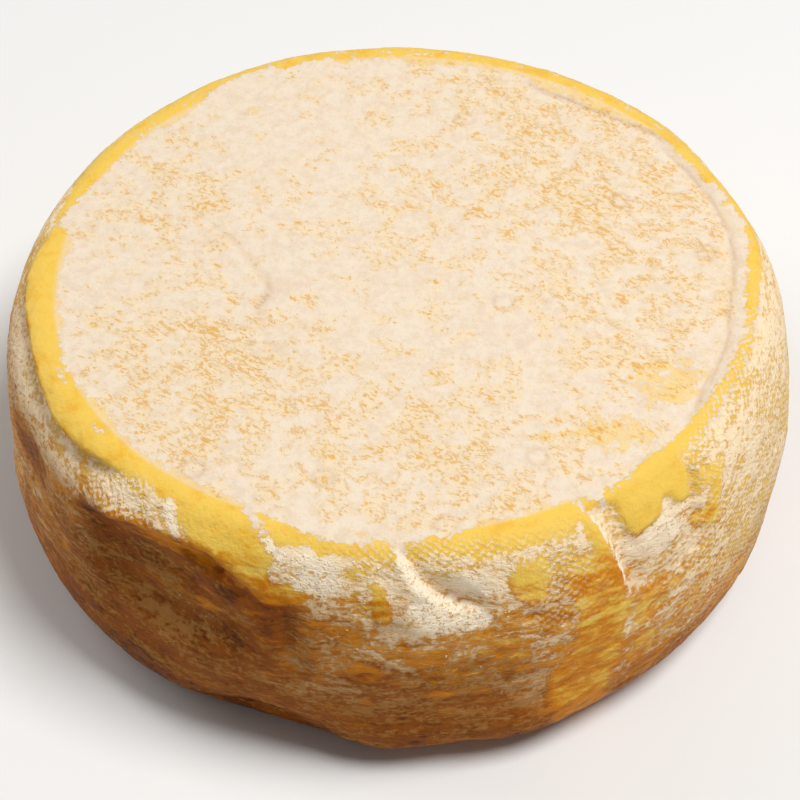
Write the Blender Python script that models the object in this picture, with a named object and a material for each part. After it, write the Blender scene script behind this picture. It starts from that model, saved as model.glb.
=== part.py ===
"""A soft-ripened cheese wheel, 140 mm across and 48 mm tall, as one solid.

The wheel is turned about +Z from a half profile, then each point of its skin is moved along the skin's
own normal: out of round, dished on top, and pressed in or swollen where the cloth and the shelf marked it.
The base is a flat face at z = 0 and the origin is its centre. Bearings are in degrees, counter-clockwise
from +X seen from above. Run it with: blender --background --python part.py
"""

import math

import bmesh
import bpy
from mathutils import Vector, noise

MM = 0.001

# Driving dimensions
BELT_RADIUS = 70 * MM  # the widest part, where the paste has sagged
BELT_HEIGHT = 14 * MM
HEIGHT = 48 * MM
TOP_RADIUS = 59.1 * MM  # where the flat top turns into the shoulder
BASE_RADIUS = 58.7 * MM  # the flat that the wheel stands on
SHOULDER_FULLNESS = 2.18  # 2 is an ellipse, more is squarer
FOOT_FULLNESS = 2.33

# Mesh density
SEGMENTS = 112  # round the wheel
SHOULDER_STEPS = 20  # from the top's edge down to the belt
FOOT_STEPS = 9  # from the belt down to the base
TOP_RINGS = (57.4, 55.4, 52.5, 47, 38, 26, 13)  # radii in millimetres, inwards

# The belt is a little oval and a little square; the rim also leans to one side
OVAL, OVAL_BEARING = 0.35 * MM, 12
SQUARE, SQUARE_BEARING = 0.25 * MM, 30
LEAN, LEAN_BEARING = 0.5 * MM, 185

# The flat top
DISH_DEPTH = 0.7 * MM
RIM_GROOVE = {"radius": 56.4 * MM, "width": 1.9 * MM, "depth": 0.7 * MM, "from": -62, "to": 62}
RIM_BEAD = {"radius": 59.3 * MM, "width": 1.5 * MM, "depth": -0.6 * MM, "from": -62, "to": 62}

# Slow unevenness of the whole skin: size of a swell and how far it moves the skin
SWELLS = ((24 * MM, 0.45 * MM), (9 * MM, 0.16 * MM))

# Each press: bearing, height, half width along the wall, half height, tilt in degrees, depth inwards
# (negative for a swelling), and the share of its reach that stays at full depth. Millimetres.
PRESSES = {
    "scoop": (237, 33.5, 23, 9.5, -6, 2.9, 0.45),
    "scoop_floor": (234, 24, 20, 9, 0, 1.0, 0.0),
    "fold_groove": (255.5, 31, 2.6, 11, 4, 1.5, 0.0),
    "fold_ridge": (258.8, 32, 2.4, 9, 0, -0.8, 0.0),
    "foot_notch": (250, 6, 17, 11, 0, 2.9, 0.0),
    "front_crater": (276.5, 43, 8.6, 5.2, -36, 1.9, 0.1),
    "crater_lip": (272.5, 38.5, 10, 4.4, -36, -0.8, 0.0),
    "front_foot_swell": (286, 8, 20, 10, 0, -1.3, 0.0),
    "tongue_recess": (308, 38, 11.5, 5.6, 10, 1.3, 0.55),
    "left_hollow": (206, 33, 13, 9, 30, 1.2, 0.0),
    "left_swell": (193, 27, 14, 10, 0, -0.8, 0.0),
    "shelf_dent": (128, 30, 15, 10, 15, 1.6, 0.2),
    "thumb_press": (82, 38, 7, 5, -20, 1.5, 0.3),
    "back_swell": (52, 24, 18, 10, 0, -0.8, 0.0),
    "cloth_pleat": (24, 31, 2.6, 12, 6, 1.2, 0.0),
}

# The shoulder's lip on the left, where the rind folds over the wall: bearing and height of its edge
LIP_EDGE = ((170, 46.9), (176, 45.8), (190, 45.7), (205, 45.2), (214, 45.5), (222, 46.7), (230, 47.7))
LIP_RISE = 0.6 * MM  # the lip stands proud of the shoulder
LIP_DROP = 1.2 * MM  # and the wall is set back under it
LIP_REACH = 6.5 * MM  # how far from its edge the lip still shows
LIP_BLEND = 1.3 * MM  # half the height over which the one turns into the other

RIND = {"colour": (0.87, 0.71, 0.42, 1.0), "roughness": 0.62, "metallic": 0.0}


def smooth_step(value, low, high):
    share = min(1.0, max(0.0, (value - low) / (high - low)))
    return share * share * (3 - 2 * share)


def turn_from(bearing, other):
    """Degrees from one bearing to another, the short way, -180 to 180."""
    return (bearing - other + 180) % 360 - 180


def half_profile():
    """Points (radius, height) from the base's edge, round the belt and shoulder, to the top's middle."""
    points = []
    for step in range(FOOT_STEPS):
        angle = math.pi / 2 * step / FOOT_STEPS
        out, down = math.sin(angle), math.cos(angle)
        radius = BASE_RADIUS + (BELT_RADIUS - BASE_RADIUS) * out ** (2 / FOOT_FULLNESS)
        points.append((radius, BELT_HEIGHT * (1 - down ** (2 / FOOT_FULLNESS))))
    for step in range(SHOULDER_STEPS + 1):
        angle = math.pi / 2 * step / SHOULDER_STEPS
        up, out = math.sin(angle), math.cos(angle)
        radius = TOP_RADIUS + (BELT_RADIUS - TOP_RADIUS) * out ** (2 / SHOULDER_FULLNESS)
        points.append((radius, BELT_HEIGHT + (HEIGHT - BELT_HEIGHT) * up ** (2 / SHOULDER_FULLNESS)))
    points += [(radius * MM, HEIGHT) for radius in TOP_RINGS]
    return points + [(0.0, HEIGHT)]


def ring_mark(radius, bearing, mark):
    """A groove or bead that runs round the top between two bearings and fades at its ends."""
    middle = (mark["from"] + mark["to"]) / 2
    half = (mark["to"] - mark["from"]) / 2
    along = 1 - smooth_step(abs(turn_from(bearing, middle)), half - 25, half)
    return mark["depth"] * along * math.exp(-(((radius - mark["radius"]) / mark["width"]) ** 2))


def press_depth(bearing, radius, height, press):
    """How far one press moves the wall inwards at this place."""
    middle, level, half_width, half_height, tilt, depth, floor = press
    along = math.radians(turn_from(bearing, middle)) * BELT_RADIUS
    up = height - level * MM + max(0.0, TOP_RADIUS - radius)
    turn = math.radians(tilt)
    across = (along * math.cos(turn) + up * math.sin(turn)) / (half_width * MM)
    above = (up * math.cos(turn) - along * math.sin(turn)) / (half_height * MM)
    return depth * MM * (1 - smooth_step(math.hypot(across, above), floor, 1.0))


def lip_height(bearing):
    """Height of the lip's edge at this bearing, or None where there is no lip."""
    for (start, low), (end, high) in zip(LIP_EDGE, LIP_EDGE[1:]):
        if start <= bearing <= end:
            return (low + (high - low) * smooth_step(bearing, start, end)) * MM
    return None


def lip_depth(bearing, radius, height):
    """The lip's rise above its edge and the set-back below it."""
    edge = lip_height(bearing)
    if edge is None:
        return 0.0
    first, last = LIP_EDGE[0][0], LIP_EDGE[-1][0]
    ends = smooth_step(bearing, first, first + 8) * (1 - smooth_step(bearing, last - 14, last))
    below = (edge - height) + 0.6 * (radius - 63.8 * MM)
    fade = math.exp(-((below / LIP_REACH) ** 2))
    under = smooth_step(below, -LIP_BLEND, LIP_BLEND)
    return ends * fade * (LIP_DROP * under - LIP_RISE * (1 - under))


def skin_depth(place, bearing, radius, height):
    """How far the skin goes in at a place on the turned wheel, along its normal."""
    depth = lip_depth(bearing, radius, height)
    for press in PRESSES.values():
        depth += press_depth(bearing, radius, height, press)
    for size, reach in SWELLS:
        depth += reach * noise.noise(place / size)
    if radius < TOP_RADIUS + 4 * MM:
        depth += ring_mark(radius, bearing, RIM_GROOVE) + ring_mark(radius, bearing, RIM_BEAD)
        depth += DISH_DEPTH * (1 - smooth_step(radius / TOP_RADIUS, 0.1, 0.97))
    return depth


def out_of_round(bearing, height):
    """Extra radius of the wall at this bearing."""
    rise = height / HEIGHT
    oval = OVAL * math.cos(math.radians(2 * (bearing - OVAL_BEARING)))
    square = SQUARE * math.cos(math.radians(4 * (bearing - SQUARE_BEARING)))
    lean = LEAN * math.cos(math.radians(bearing - LEAN_BEARING)) * smooth_step(rise, 0.4, 1.0)
    return oval + square + lean


def shape_skin(mesh):
    """Moves every point of the turned wheel to its place on the real one. The base stays flat."""
    normals = {vertex: vertex.normal.copy() for vertex in mesh.verts}
    for vertex, normal in normals.items():
        x, y, height = vertex.co
        radius = math.hypot(x, y)
        bearing = math.degrees(math.atan2(y, x)) % 360
        loose = smooth_step(height, 0.0, 5 * MM)  # nothing moves at the base
        stretch = 1 + out_of_round(bearing, height) / BELT_RADIUS
        moved = Vector((x * stretch, y * stretch, height))
        vertex.co = moved - normal * skin_depth(vertex.co, bearing, radius, height) * loose


def turn_wheel():
    """The wheel as turned: the half profile spun about +Z, its base closed by one flat face."""
    mesh = bmesh.new()
    line = [mesh.verts.new((radius, 0, height)) for radius, height in half_profile()]
    edges = [mesh.edges.new(pair) for pair in zip(line, line[1:])]
    bmesh.ops.spin(
        mesh,
        geom=line + edges,
        cent=(0, 0, 0),
        axis=(0, 0, 1),
        angle=2 * math.pi,
        steps=SEGMENTS,
        use_merge=True,
    )
    bmesh.ops.remove_doubles(mesh, verts=mesh.verts, dist=0.01 * MM)
    base_rim = [edge for edge in mesh.edges if edge.is_boundary]
    bmesh.ops.edgeloop_fill(mesh, edges=base_rim)
    bmesh.ops.recalc_face_normals(mesh, faces=mesh.faces)
    mesh.normal_update()
    return mesh


def rind_material():
    material = bpy.data.materials.new("rind")
    material.use_nodes = True
    shader = material.node_tree.nodes["Principled BSDF"]
    shader.inputs["Base Color"].default_value = RIND["colour"]
    shader.inputs["Roughness"].default_value = RIND["roughness"]
    shader.inputs["Metallic"].default_value = RIND["metallic"]
    return material


def cheese_wheel():
    skin = turn_wheel()
    shape_skin(skin)
    mesh = bpy.data.meshes.new("cheese_wheel")
    skin.to_mesh(mesh)
    skin.free()
    mesh.shade_smooth()
    mesh.set_sharp_from_angle(angle=math.radians(50))
    mesh.materials.append(rind_material())
    wheel = bpy.data.objects.new("cheese_wheel", mesh)
    bpy.context.scene.collection.objects.link(wheel)
    return wheel


def main():
    for leftover in list(bpy.data.objects):
        bpy.data.objects.remove(leftover)
    cheese_wheel()


main()
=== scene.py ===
import math

import bpy
import numpy as np
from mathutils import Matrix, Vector, noise


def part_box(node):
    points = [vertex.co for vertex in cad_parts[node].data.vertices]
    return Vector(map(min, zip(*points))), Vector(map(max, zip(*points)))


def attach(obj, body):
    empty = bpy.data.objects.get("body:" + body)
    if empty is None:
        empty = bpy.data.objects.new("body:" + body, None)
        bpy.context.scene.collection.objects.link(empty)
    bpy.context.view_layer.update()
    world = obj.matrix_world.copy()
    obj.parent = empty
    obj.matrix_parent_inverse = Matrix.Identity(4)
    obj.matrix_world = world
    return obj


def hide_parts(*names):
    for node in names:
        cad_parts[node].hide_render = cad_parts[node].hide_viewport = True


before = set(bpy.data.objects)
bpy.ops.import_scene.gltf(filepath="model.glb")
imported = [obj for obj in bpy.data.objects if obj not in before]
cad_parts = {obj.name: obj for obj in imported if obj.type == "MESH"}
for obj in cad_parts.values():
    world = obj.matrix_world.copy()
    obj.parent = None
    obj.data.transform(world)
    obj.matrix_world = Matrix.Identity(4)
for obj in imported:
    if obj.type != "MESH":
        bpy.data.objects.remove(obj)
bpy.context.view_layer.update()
wheelLow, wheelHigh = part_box("cheese_wheel")
mm = (wheelHigh[0] - wheelLow[0]) / 140.4  # the model is measured in millimetres on a box this wide
print("frame loaded, wheel", round(140.4 * mm * 1000, 1), "mm wide")

# Measures below are millimetres and degrees. A bearing is counter-clockwise from +X seen from above.
# A run is the way along the skin from the top's rim: positive down the wall, negative towards the middle.

wheelShape = {
    "beltRadius": 70.0,
    "beltHeight": 14.0,
    "height": 48.0,
    "topRadius": 59.1,
    "baseRadius": 58.7,
    "shoulderFullness": 2.18,
    "footFullness": 2.33,
    "segments": 640,
    "topStep": 0.64,
    "wallStep": 0.56,
    "footStep": 0.85,
    "baseStep": 2.6,
    "oval": (0.35, 12),  # amount and bearing
    "square": (0.25, 30),
    "lean": (0.5, 185),
    "dish": 0.7,
    "swells": ((24, 0.45, 1), (9, 0.16, 1), (3.2, 0.07, 3)),  # size, reach, octaves
}

# Bearing, height, half width, half height, tilt, depth inwards and the flat share of its floor
presses = {
    "scoop": (236, 31.5, 21, 10.5, -6, 3, 0.4),
    "scoopFloor": (233, 23, 20, 9, 0, 1, 0),
    "foldGroove": (255.3, 30, 2.6, 11, 4, 1.1, 0),
    "foldRidge": (258.8, 31, 2.2, 10, 0, -0.8, 0),
    "footNotch": (250, 6, 17, 11, 0, 2.9, 0),
    "dent": (277.5, 40.6, 8.6, 4.6, -36, 1.2, 0.1),
    "dentLip": (271.5, 38, 9, 3.6, -36, -0.6, 0),
    "frontFootSwell": (286, 8, 20, 10, 0, -1.3, 0),
    "leftHollow": (206, 33, 13, 9, 30, 1.2, 0),
    "bulge": (229, 40.5, 9, 5, -10, -0.9, 0),
    "shelfDent": (128, 30, 15, 10, 15, 1.6, 0.2),
    "thumbPress": (82, 38, 7, 5, -20, 1.5, 0.3),
    "backSwell": (52, 24, 18, 10, 0, -0.8, 0),
    "clothPleat": (24, 31, 2.6, 12, 6, 1.2, 0),
    "lowDent": (287.5, 35.6, 2.2, 1.6, 0, 0.6, 0),
    "orangePress": (306, 27, 5, 4, 0, 0.5, 0),
    "leftFlat": (187, 26, 18, 13, 0, 1.1, 0.2),
    "rightFlat": (23, 38, 28, 15, 0, 1.4, 0.1),
    "lowRightFlat": (344, 13, 22, 14, 0, 0.9, 0),
    "toeSwell": (269, 7, 13, 9, 0, -1.2, 0.1),
}

# A crease is a line on the skin with a rise or fall on each side that fades with distance.
# Points are (bearing, run). Left and right are seen walking along the line, outside facing you.
creases = {
    "lip": {
        "line": (
            (172, 1.6), (175.8, 3.8), (180.2, 4.7), (186.3, 4.8), (193, 4.1), (199.5, 4.4), (204.6, 4.8),
            (209.5, 5.4), (214, 5.4), (218, 5), (222, 4.1), (225.8, 3.4), (228, 2.6),
        ),
        "inner": (0.55, 4), "outer": (-1.5, 4), "ends": (0.1, 0.14),
    },
    "shoulderEdge": {
        "line": (
            (219, 14.5), (223, 12.9), (227, 11.4), (231, 9.9), (235, 9.4), (238.5, 8.8), (243, 8.6),
            (246.9, 10.2), (250, 12.4), (252.6, 15.4),
        ),
        "inner": (0.7, 3.5), "outer": (-2.1, 4.5), "ends": (0.25, 0.34), "round": 1.5,
    },
    "crescent": {
        "line": (
            (269.4, 0.8), (270.8, 4.7), (271.9, 7.1), (273.9, 9.3), (275.6, 11.1), (277.5, 12.6),
            (280.4, 13.4), (283, 13.2),
        ),
        "inner": (-1.5, 3.2), "outer": (0.6, 2), "ends": (0.15, 0.3),
    },
    "bandStep": {
        "line": (
            (297.6, 0.4), (298.8, 4.2), (299.7, 7.2), (300.4, 10.5), (301.2, 14), (301.6, 17.4),
            (302, 20.4),
        ),
        "inner": (-0.9, 5), "outer": (0.35, 1.6), "ends": (0.1, 0.25),
    },
    "rimBead": {
        "line": (
            (45, -1.2), (36, -0.6), (25.2, 0.2), (19.8, 0.9), (14.8, 2), (9.6, 2.5), (3.7, 2.6), (-1.7, 2),
            (-7.7, 1.4), (-13.4, 1.2), (-18.6, 1.6), (-25.5, 1), (-31.4, 0.3), (-36.4, -0.3), (-41.4, -0.4),
        ),
        "inner": (0.55, 1.3), "outer": (0.55, 1.6), "ends": (0.15, 0.12),
    },
    "rimGroove": {
        "line": (
            (36, -2.6), (20, -1.6), (8, -0.9), (-0.6, -1.6), (-6, -2.1), (-11.4, -2.7), (-16.9, -1.6),
            (-23.2, -1.8), (-29.6, -2.1), (-35.6, -1.3), (-41.8, -1.9),
        ),
        "inner": (-0.35, 1.2), "outer": (-0.35, 0.9), "ends": (0.15, 0.12),
    },
    "backFold": {
        "line": (
            (66, -2.5), (59.4, -4.6), (54.6, -3.9), (48.9, -3.9), (42.8, -2.7), (36.8, -1.1), (31, -0.9),
        ),
        "inner": (-0.25, 1.2), "outer": (0.4, 1.8), "ends": (0.2, 0.2),
    },
}

# Patches of skin that stand proud (or lie low) with a clear edge. Points are (bearing, run).
patches = {
    "tongues": {
        "edge": (
            (300, 0.8), (304.5, 0), (308.2, -0.3), (312.8, -1.2), (314.8, -0.5), (315.8, 1.4), (316.2, 4.2),
            (315.5, 6.8), (314.8, 8.7), (313.1, 8.9), (311.8, 7.7), (310.9, 5.9), (310.1, 6.2),
            (309.4, 8.3), (307.1, 9), (303.9, 9.7), (302.9, 7.1), (302.7, 4.8), (302.8, 2.9), (301.5, 1.8),
        ),
        "rise": 0.75, "bare": True,
    },
    "sidePatch": {
        "edge": (
            (319.8, 6.5), (322.5, 8.1), (320.8, 11.3), (319.3, 14), (319.4, 17), (317.2, 17), (313.9, 14.3),
            (314.8, 12.5), (317.2, 12.5), (317.9, 9.2),
        ),
        "rise": 0.3, "bare": True,
    },
    "squarePatch": {
        "edge": (
            (284.7, 6.6), (286.5, 5.9), (289.6, 6.3), (290.4, 8.7), (290.1, 11.9), (289.3, 14.4),
            (287.6, 14.4), (285.1, 11.9), (284.7, 9),
        ),
        "rise": 0.3, "bare": True,
    },
    "smallPatch": {
        "edge": (
            (265.9, 7.7), (267.8, 7.5), (268.9, 9.8), (269.3, 12.3), (268.6, 14.6), (267.2, 14.6),
            (266, 12),
        ),
        "rise": 0.2, "bare": True,
    },
    "hollow": {
        "edge": (
            (298.4, 1.2), (303, 1), (309, 1), (316, 2), (318.5, 6), (317.4, 12.5), (316, 18), (312, 21.5),
            (306, 21), (303, 19), (301.4, 15), (300, 8),
        ),
        "rise": -1, "bare": False,
    },
    "whiteCrumb": {
        "edge": (
            (317.2, 2.6), (318, 4.8), (318.5, 8.3), (317.8, 11), (316.4, 12.6), (315, 11.2), (316, 8.7),
            (316.6, 5.7),
        ),
        "rise": 0.9, "bare": False,
    },
}

# Where the yellow rind shows between the top's bloom and the wall: (bearing, run) of its two edges
bandInner = (
    (0, 0.6), (6, 1.7), (11, 2), (15.6, 1.4), (19, 0.5), (23, -0.6), (34, -0.7), (38, -1.2), (44.5, -2.2),
    (50, -3.6), (55, -3), (59.4, -4.4), (65, -1.8), (69, -1.6), (74, -2.1), (83, -2.8), (85.6, -3.6),
    (90, -1.9), (95, -0.9), (99, -1.3), (101, -2.4), (104, -0.1), (108, -0.1), (112, -1), (115, 0.6),
    (119.5, 1.2), (125, 0.3), (129, -1.3), (133, -2.4), (138, -3.1), (141, -1.2), (149, -1.2), (156, -1.1),
    (160, -0.7), (165, 0.6), (170, 1.2), (172.4, -1.2), (173.5, -2.6), (178, -1.8), (184, -1.4),
    (194, -1.8), (199, -0.6), (204, -0.3), (207, -0.9), (211, -1.6), (214.5, -2.1), (222, -1.6),
    (229, -1.4), (235, -1.9), (244, -1.6), (247.5, -1.1), (250, -0.4), (253.4, 0.3), (257.4, 1.1),
    (265, 1.5), (269.6, 1.1), (274, 0.3), (277, 0.2), (281, -1), (285, -1.6), (288.4, -1.2), (292, -1.5),
    (296, -1), (298.6, -0.4), (301.8, 0.8), (306.8, 0.2), (309.4, -0.6), (312.8, -1.1), (316, -0.5),
    (323, -0.6), (330, -0.1), (338, 0.4), (346, 0.5), (353, 0.3), (360, 0.6),
)
bandOuter = (
    (0, 3.6), (5, 4), (10, 3.9), (15, 3.4), (20, 2.6), (26, 2.6), (40, 4.5), (60, 6), (80, 5), (100, 6),
    (120, 5), (138, 5), (150, 3.2), (165, 2.6), (170.5, 2.2), (172, 2.6), (176, 3.8), (180, 4.7),
    (186, 4.8), (193, 4.2), (199.5, 4.4), (204.6, 4.8), (209.5, 5.4), (214, 5.4), (218, 5), (222, 4.1),
    (226, 3.4), (229.5, 2.6), (232.5, 2.8), (235, 3.4), (237, 4.6), (239, 5.6), (241, 8.2), (243, 8.6),
    (247, 10.4), (250, 12.6), (252, 14.6), (254.5, 14), (257, 12.6), (259.5, 10.5), (261, 6), (262.5, 3.6),
    (264, 4.2), (270, 3.8), (276, 3.6), (281, 4.2), (287, 4.5), (292, 4.2), (296, 3.4), (298, 2),
    (303, 2.6), (316, 2.4), (323, 2.2), (330, 1.9), (340, 2.4), (347, 1.9), (353, 2.2), (360, 3.6),
)

# Between these bearings the cloth print stays off the band
cleanBands = ((172, 228), (3, 62))
# Where bloom breaks up the band's top edge: bearing of the middle, where it starts and stops changing, and
# how much it is broken in the middle and beyond
brokenBands = ((270, 105, 125, 0, 1), (338, 12, 22, 1, 0), (278, 14, 20, 0.82, 0))

# The yellow stripe down the front, its two edges as (bearing, run)
stripeLeft = (
    (296, 1), (296.8, 5.9), (297.3, 8.3), (294.8, 8.7), (292.6, 10.1), (292.4, 13.4), (294.1, 18.9),
    (293.3, 26.3), (290.6, 29.4), (289.3, 32), (289.6, 38), (290.6, 46), (291, 52),
)
stripeRight = (
    (297.8, 1.1), (298.8, 4.2), (299.7, 7.2), (300.4, 10.5), (301.2, 14), (301.5, 17.4), (301.8, 20.4),
    (301.1, 25.7), (301.1, 32.1), (299.8, 36.2), (299.8, 41), (302, 46.2), (303, 52),
)

# Loose spots of bare rind: bearing, run, half width, half height
bareSpots = (
    (305.5, 24, 3.4, 3.2), (303.8, 34.5, 3, 3.6), (265.5, 26, 3.4, 2.6), (326, 16.4, 2.2, 0.7),
    (326, 27, 2, 1.4), (313, 30, 2.6, 1.6), (281, 17, 1.8, 1.4), (243, 18, 3.2, 5), (275, 31, 2.6, 1.6),
    (12, 12, 3, 2), (60, 22, 6, 4), (95, 15, 5, 3), (118, 33, 7, 4), (150, 18, 5, 4), (85, 40, 6, 3),
    (35, 30, 3, 5), (340, 33, 2, 3),
)

# Strokes of white bloom: line of (bearing, run), half width and how thick it is
whiteStrokes = {
    "stroke": (((246.6, -0.8), (248.2, 0.6), (249.8, 1.7), (251.8, 3.9), (253.2, 5)), 0.75, 0.6),
    "blotch": ((
        (253.6, 8), (254.5, 5), (256.5, 4.2), (258.5, 6), (260.5, 5), (261.5, 8), (259.5, 9), (256, 8),
    ), 1.6, 0.14),
    "crescentEdge": ((
        (269.6, 1.2), (270.8, 4.7), (271.7, 7.3), (273.5, 10), (275.4, 12), (277.5, 13.3), (280.4, 14),
    ), 0.9, 0.95),
    "crescentFoot": (((272.4, 11.4), (274.6, 13.8), (277.4, 15), (280.6, 15)), 1.5, 0.8),
    "stripeEdge": ((
        (297.6, 0.4), (298.9, 4.2), (299.8, 7.2), (300.5, 10.5), (301.3, 14), (301.7, 17.8),
    ), 0.4, 0.6),
    "flakeOne": (((203.4, 0.4), (205.2, 0.9), (206.8, 0.6)), 0.22, 0.6),
    "flakeTwo": (((216.6, 0.6), (217.9, 0.9), (218.9, 0.4)), 0.3, 0.6),
    "bulgeFoot": (((235.4, 3.6), (237, 5.6), (238.4, 7.6)), 0.9, 0.4),
}

# On the top, in millimetres from the middle
ringMarks = ((12, 40), (39, 17), (17.5, -8.5), (53, 3.5), (21.5, -43), (-12, -47), (7, -56.5), (-32, -45))
wornSpots = (
    (44, -27, 5, 4.5), (35, -38, 4.5, 3), (-27.5, 41, 1.2, 1.2), (24, -38.5, 3, 0.6), (30, -38, 3.5, 0.7),
)
crackLine = ((-22.4, -3.2), (-22.0, -5.4), (-22.7, -7.6), (-24.0, -9.8))
# A low fold across the top: its left side stands higher
topFold = (
    (-40, 15), (-34.5, 11.5), (-29.4, 6.6), (-26.2, 1), (-23.5, -2.2), (-22.4, -5.8), (-24.6, -11),
    (-22.3, -17.5), (-19.4, -22.5), (-15.3, -29.1), (-10.9, -35.6),
)
markSizes = {
    "ringRadius": 1.7, "ringWidth": 0.45, "ringDepth": 0.16, "crackWidth": 0.35, "crackDepth": 0.35,
    "foldRise": 0.3, "foldDrop": 0.4,
}
fleckFields = (  # middle x, y, reach, amount
    (-38, 20, 12, 0.35), (-30, -27, 19, 0.55), (10, 26, 24, 0.25), (4, -42, 20, 0.4), (46, 10, 16, 0.5),
    (34, 38, 16, 0.35), (-22, 40, 20, -0.5), (0, -16, 17, -0.4), (-18, 0, 9, -0.35), (24, -10, 10, 0.2),
    (-52, 0, 9, -0.2), (22, -24, 10, -0.3), (44, -18, 12, 0.4), (-8, 46, 12, 0.1),
)

# Where the skin differs from its surroundings: bearing, run, half width in degrees, half height, amount
coverFields = {
    "cloth": (
        (335, 22, 34, 26, 0.6), (20, 18, 40, 22, 0.6), (276, 4, 17, 5, 0.6), (228, 7, 10, 6.5, 0.6),
        (100, 22, 60, 26, 0.4), (196, 14, 26, 16, 0.3), (292, 12, 9, 12, 0.3), (8, -3, 44, 6, 0.35),
        (310, 12, 9, 9, -0.2), (333, 3, 26, 5, 0.5),
    ),
    "bloom": (
        (340, 18, 36, 26, 0.16), (20, 16, 40, 24, 0.14), (193, 11, 22, 9, 0.16), (308, 13, 10, 9, 0.3),
        (229, 6.5, 9, 4, 0.12), (276, 14.5, 9, 4.5, 0.4), (279, 9.5, 6, 4.5, 0.3), (258, 7, 6, 6, 0.25),
        (254, 15, 5, 8, -0.25), (243, 17, 7, 7, -0.1), (276, 34, 20, 14, 0.1), (222, 38, 26, 10, -0.08),
        (297, 34, 9, 18, -0.15), (267, 26, 6, 5, -0.15), (205, 17, 8, 5, -0.2), (240, 50, 40, 9, -0.1),
        (228, 28, 20, 14, 0.06), (278, 6, 18, 5, 0.1),
    ),
    # Age fields brown the rind. The large ones on the front-left wall (234) and at its foot (250) are partly
    # painted shade.
    "ageAndShade": (
        (234, 30, 44, 34, 0.34), (350, 22, 56, 36, -0.32), (254, 16, 5, 8, 0.25), (250, 24, 7, 8, 0.25),
        (239, 20, 9, 7, -0.18), (240, 46, 34, 12, 0.12), (206, 17, 9, 5, 0.4), (266, 26, 5, 5, 0.2),
        (193, 14, 24, 14, 0.14), (232, 13, 12, 4, 0.1), (276, 36, 24, 16, 0.26), (250, 48, 30, 9, 0.3),
        (303, 24, 5, 6, -0.1),
    ),
    "crumbs": (
        (228, 7, 10, 5, 0.5), (278, 5, 20, 6, 0.4), (276, 14, 12, 6, 0.3), (315, 9, 9, 10, 0.2),
        (258, 7, 8, 6, 0.4), (193, 11, 20, 8, 0.25), (340, 14, 30, 16, 0.2), (20, 12, 40, 14, 0.2),
        (100, 14, 60, 16, 0.2), (292, 14, 8, 10, 0.2),
    ),
    # Grey fields dull the bloom to grey-tan: its own greyed colour, and painted shade in the scoop, the dent
    # and low on the front wall
    "greyAndShade": (
        (234, 22, 16, 10, 0.6), (193, 12, 22, 9, 0.1), (278, 27, 16, 9, 0.5), (279, 9.5, 4, 3.5, 0.25),
        (308, 14, 9, 9, 0.15), (258.6, 20, 3, 12, 0.4), (335, 34, 20, 14, 0.2), (276, 14.5, 9, 3.5, -0.3),
    ),
}


def smoothStep(value, low, high):
    share = np.clip((value - low) / (high - low), 0, 1)
    return share * share * (3 - 2 * share)


def hump(away, reach):
    return np.exp(-(away / reach) ** 2)


def betweenEnds(share, start, end, last=1):  # fades towards both ends of a line
    return smoothStep(share, 0, start) * (1 - smoothStep(share, end, last))


def placeObject(name, data):
    thing = bpy.data.objects.new(name, data)
    bpy.context.scene.collection.objects.link(thing)
    return thing


def turnFrom(bearing, other):
    return (bearing - other + 180) % 360 - 180


def unevenness(places, size, octaves):
    shift = Vector((17.3, -9.1, 5.7))
    return np.array([noise.fractal(Vector(place) / size + shift, 0.9, 2.0, octaves) for place in places])


# The half profile, as a fine line of run, radius and height
def halfProfile():
    shape = wheelShape
    angle = np.radians(np.linspace(90, 0, 400))
    topRadius, belt, beltHeight, baseRadius = (
        shape[key] for key in ("topRadius", "beltRadius", "beltHeight", "baseRadius"))
    radius = topRadius + (belt - topRadius) * np.cos(angle) ** (2 / shape["shoulderFullness"])
    height = beltHeight + (shape["height"] - beltHeight) * np.sin(angle) ** (2 / shape["shoulderFullness"])
    down = np.radians(np.linspace(0, 90, 200))[1:]
    footRadius = baseRadius + (belt - baseRadius) * np.cos(down) ** (2 / shape["footFullness"])
    footHeight = beltHeight * (1 - np.sin(down) ** (2 / shape["footFullness"]))
    radius = np.r_[0, topRadius - 0.01, radius, footRadius, 0]
    height = np.r_[shape["height"], shape["height"], height, footHeight, 0]
    run = np.r_[0, np.cumsum(np.hypot(np.diff(radius), np.diff(height)))] - topRadius
    return run, radius, height


profileRun, profileRadius, profileHeight = halfProfile()
baseRun = profileRun[-1] - wheelShape["baseRadius"]  # where the flat base begins


def runAtHeight(height):
    wall = (profileRun >= 0) & (profileRun <= baseRun)
    return float(np.interp(-height, -profileHeight[wall], profileRun[wall]))


def ringRuns():
    shape = wheelShape
    top = np.arange(-shape["topRadius"] + shape["topStep"], -4, shape["topStep"])
    wall = np.arange(-4, 38, shape["wallStep"])
    foot = np.arange(38, baseRun + 3, shape["footStep"])
    base = np.arange(baseRun + 3.5, profileRun[-1] - 1, shape["baseStep"])
    return np.r_[top, wall, foot, base]


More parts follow.
